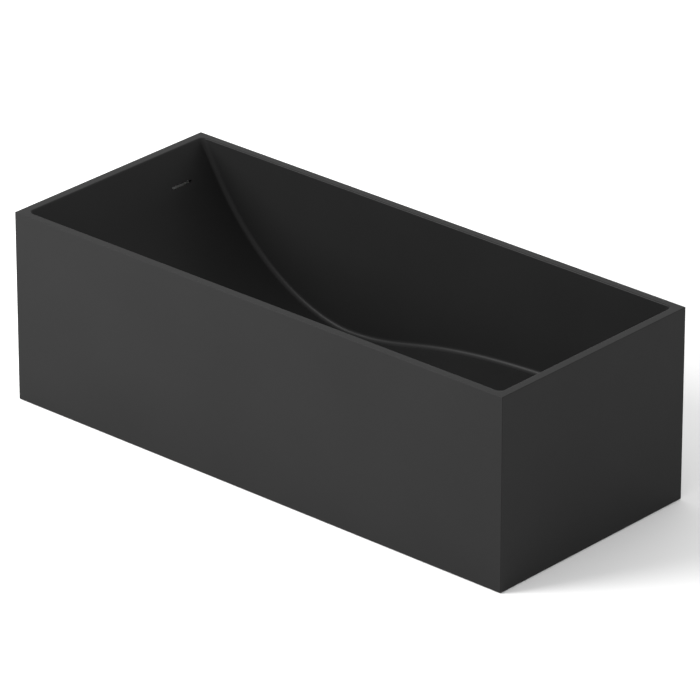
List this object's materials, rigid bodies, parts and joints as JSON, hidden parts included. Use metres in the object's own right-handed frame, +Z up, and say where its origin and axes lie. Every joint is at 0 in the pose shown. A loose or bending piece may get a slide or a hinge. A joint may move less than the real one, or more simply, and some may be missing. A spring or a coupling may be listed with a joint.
{
  "type": "freestanding bathtub",
  "caption": "Freestanding rectangular bathtub: thin-rimmed straight casing around a wave-shaped bed with a sloped backrest, slot overflow and click-clack waste, on levelling feet.",
  "frame": {"origin": "centre of the footprint on the floor, under the middle of the tub", "axes": "+X towards the foot end (the backrest is at -X), +Y towards the long side that the overflow slot is nearer to, +Z up"},
  "size_m": [1.7, 0.72, 0.55],
  "materials": {
    "solid_surface": "matte",
    "plywood": "matte",
    "frame_steel": "satin",
    "zinc_steel": "satin",
    "rubber": "matte",
    "black_cap": "matte",
    "brass": "satin",
    "white_plastic": "satin",
    "grey_plastic": "satin"
  },
  "bodies": {
    "tub": {"front_panel": "solid_surface", "rear_panel": "solid_surface", "head_panel": "solid_surface", "foot_panel": "solid_surface", "front_liner": "solid_surface", "rear_liner": "solid_surface", "wave_bed": "solid_surface", "front_cove": "solid_surface", "rear_cove": "solid_surface", "rib_1": "plywood", "rib_2": "plywood", "rib_3": "plywood", "rib_4": "plywood", "rib_5": "plywood", "front_rail": "frame_steel", "rear_rail": "frame_steel", "cross_member_1": "frame_steel", "cross_member_2": "frame_steel", "cross_member_3": "frame_steel", "foot_locknut_1": "zinc_steel", "foot_locknut_2": "zinc_steel", "foot_locknut_3": "zinc_steel", "foot_locknut_4": "zinc_steel", "foot_locknut_5": "zinc_steel", "foot_locknut_6": "zinc_steel", "cartridge_spring": "zinc_steel", "upper_hose_clip": "zinc_steel", "lower_hose_clip": "zinc_steel", "flange_seal": "rubber", "body_seal": "rubber", "trap_seal": "rubber", "overflow_gasket": "rubber", "waste_flange": "black_cap", "cartridge_body": "brass", "waste_body": "white_plastic", "trap_cup": "white_plastic", "outlet_nut": "white_plastic", "overflow_box": "white_plastic", "outlet_elbow": "grey_plastic", "overflow_hose": "grey_plastic"},
    "foot_1": {"foot_pad_1": "rubber", "foot_stud_1": "zinc_steel"},
    "foot_2": {"foot_pad_2": "rubber", "foot_stud_2": "zinc_steel"},
    "foot_3": {"foot_pad_3": "rubber", "foot_stud_3": "zinc_steel"},
    "foot_4": {"foot_pad_4": "rubber", "foot_stud_4": "zinc_steel"},
    "foot_5": {"foot_pad_5": "rubber", "foot_stud_5": "zinc_steel"},
    "foot_6": {"foot_pad_6": "rubber", "foot_stud_6": "zinc_steel"},
    "plug": {"plug_cap": "black_cap", "plug_seal": "rubber", "plug_stem": "brass", "cartridge_plunger": "white_plastic"}
  },
  "joints": [
    {"name": "foot_1_level", "type": "slide", "parent": "tub", "child": "foot_1", "axis": [0, 0, -1], "range_m": [-0.002, 0.02]},
    {"name": "foot_2_level", "type": "slide", "parent": "tub", "child": "foot_2", "axis": [0, 0, -1], "range_m": [-0.002, 0.02]},
    {"name": "foot_3_level", "type": "slide", "parent": "tub", "child": "foot_3", "axis": [0, 0, -1], "range_m": [-0.002, 0.02]},
    {"name": "foot_4_level", "type": "slide", "parent": "tub", "child": "foot_4", "axis": [0, 0, -1], "range_m": [-0.002, 0.02]},
    {"name": "foot_5_level", "type": "slide", "parent": "tub", "child": "foot_5", "axis": [0, 0, -1], "range_m": [-0.002, 0.02]},
    {"name": "foot_6_level", "type": "slide", "parent": "tub", "child": "foot_6", "axis": [0, 0, -1], "range_m": [-0.002, 0.02]},
    {"name": "plug_lift", "type": "slide", "parent": "tub", "child": "plug", "axis": [0, 0, 1], "range_m": [0, 0.01], "deforming": ["cartridge_spring"]}
  ]
}
